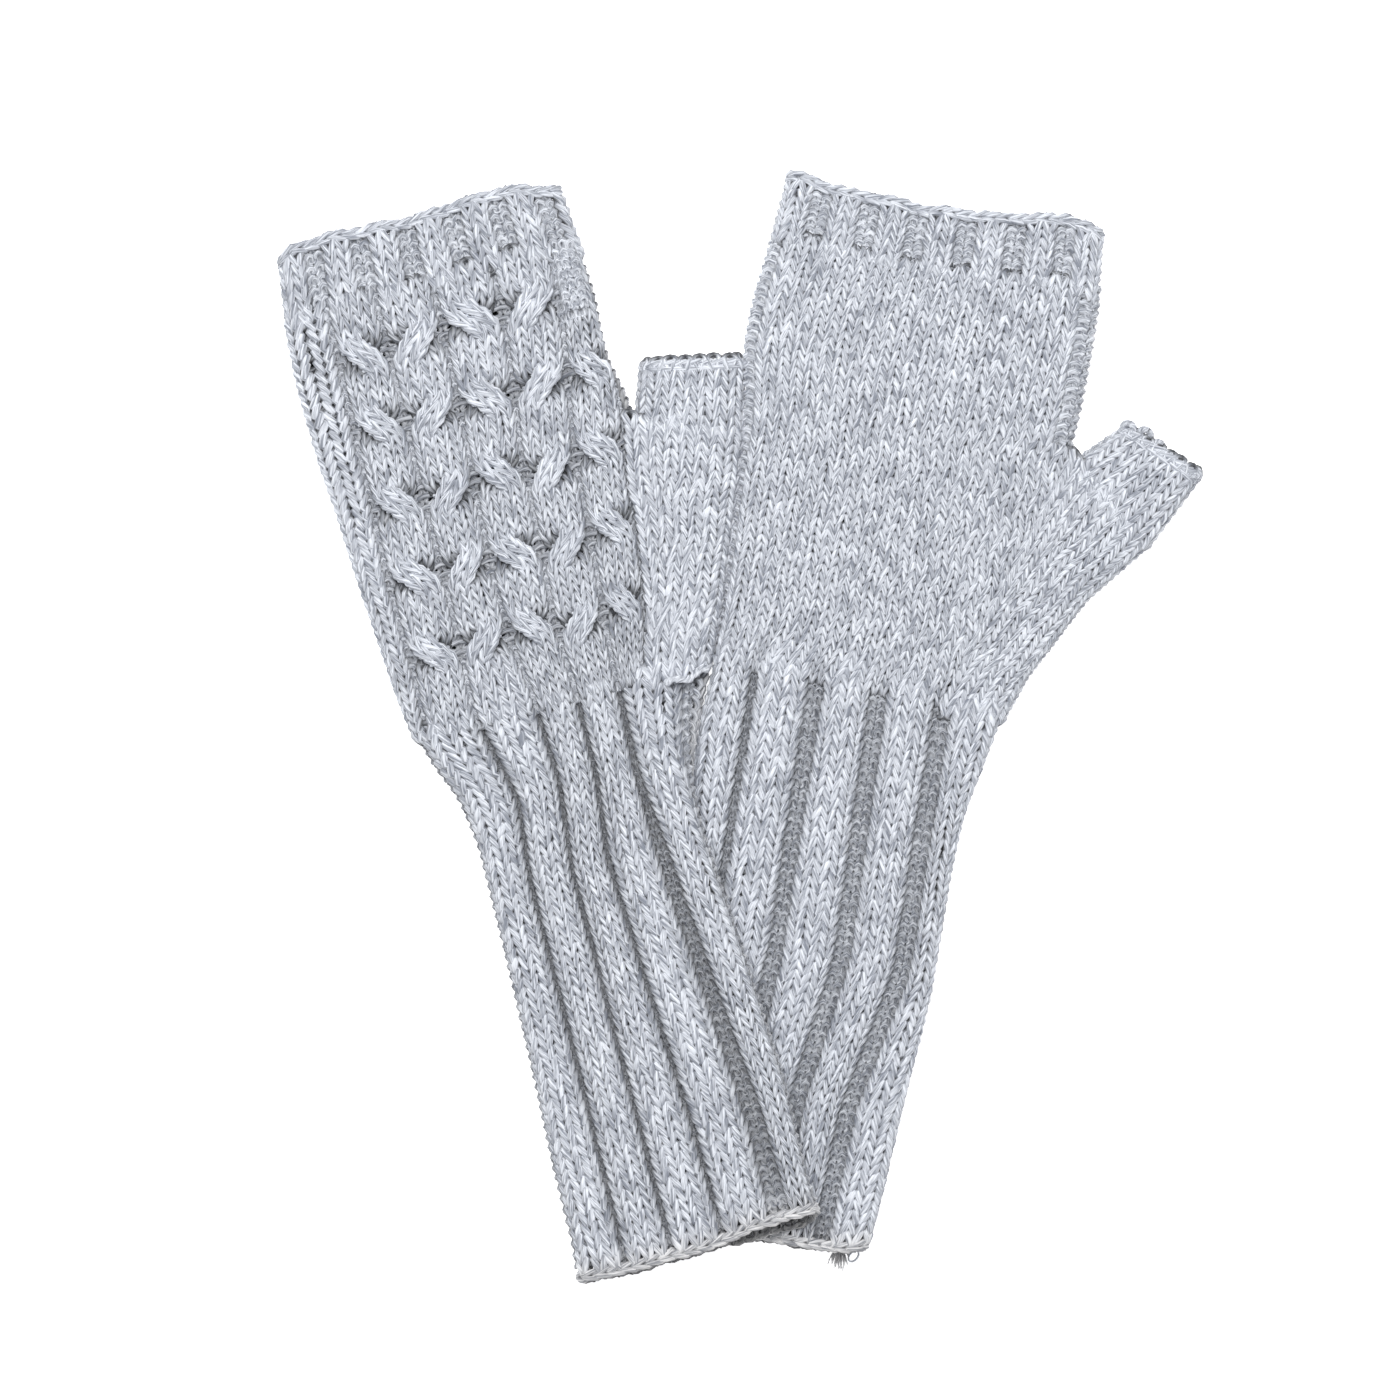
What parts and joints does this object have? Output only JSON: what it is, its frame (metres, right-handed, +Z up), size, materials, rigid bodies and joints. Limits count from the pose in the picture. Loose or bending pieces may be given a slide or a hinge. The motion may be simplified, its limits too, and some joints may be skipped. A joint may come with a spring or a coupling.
{
  "type": "fingerless gloves",
  "caption": "Pair of long knitted mitts with open fingers, short thumb tubes, ribbed cuffs and cabled backs, lying flat with the left cuff across the right.",
  "frame": {"origin": "middle of the pair's outline, on the surface that it lies on", "axes": "+Z up from the surface, +Y from the cuffs towards the fingers, +X from the left mitt towards the right mitt"},
  "size_m": [0.2526, 0.303, 0.0246],
  "materials": {
    "rib_knit": "ribbed knitted wool, light heathered blue-grey",
    "plain_knit": "plain knitted wool, light heathered blue-grey",
    "cable_knit": "cable-knitted wool, light heathered blue-grey",
    "edge_yarn": "cast-on and bind-off edges in the same wool"
  },
  "bodies": {
    "right_cuff": {"right_cuff_cast_on_edge": "edge_yarn", "right_cuff_back_rib": "rib_knit", "right_cuff_palm_rib": "rib_knit", "right_cuff_outer_fold": "rib_knit", "right_cuff_thumb_fold": "rib_knit", "right_yarn_tail": "edge_yarn"},
    "right_hand": {"right_back_cable_panel": "cable_knit", "right_palm_panel": "plain_knit", "right_hand_outer_fold": "plain_knit", "right_hand_index_fold": "plain_knit", "right_thumb_gusset": "plain_knit", "right_finger_band_back": "rib_knit", "right_finger_band_palm": "rib_knit", "right_finger_bind_off_edge": "edge_yarn"},
    "right_thumb": {"right_thumb_tube": "plain_knit", "right_thumb_bind_off_edge": "edge_yarn"},
    "left_cuff": {"left_cuff_cast_on_edge": "edge_yarn", "left_cuff_back_rib": "rib_knit", "left_cuff_palm_rib": "rib_knit", "left_cuff_outer_fold": "rib_knit", "left_cuff_thumb_fold": "rib_knit"},
    "left_hand": {"left_back_cable_panel": "cable_knit", "left_palm_panel": "plain_knit", "left_hand_outer_fold": "plain_knit", "left_hand_index_fold": "plain_knit", "left_thumb_gusset": "plain_knit", "left_finger_band_back": "rib_knit", "left_finger_band_palm": "rib_knit", "left_finger_bind_off_edge": "edge_yarn"},
    "left_thumb": {"left_thumb_tube": "plain_knit", "left_thumb_bind_off_edge": "edge_yarn"}
  },
  "joints": [
    {"name": "right_wrist_bend", "type": "hinge", "parent": "right_cuff", "child": "right_hand", "pos_m": [0.03131, 0.00867, 0.0121], "axis": [0.9829, -0.184, 0], "range_deg": [0, 70]},
    {"name": "right_thumb_bend", "type": "hinge", "parent": "right_hand", "child": "right_thumb", "pos_m": [0.09727, 0.0594, 0.0121], "axis": [0.7262, -0.6874, 0], "range_deg": [0, 60]},
    {"name": "left_mitt_lift", "type": "slide", "parent": "right_cuff", "child": "left_cuff", "axis": [-0.7071, 0, 0.7071], "range_m": [0, 0.1]},
    {"name": "left_wrist_bend", "type": "hinge", "parent": "left_cuff", "child": "left_hand", "pos_m": [-0.05046, 0.00457, 0.0121], "axis": [0.9646, 0.2639, 0], "range_deg": [0, 60]},
    {"name": "left_thumb_bend", "type": "hinge", "parent": "left_hand", "child": "left_thumb", "pos_m": [-0.01896, 0.07721, 0.0121], "axis": [0.9998, -0.0221, 0], "range_deg": [0, 60]}
  ]
}
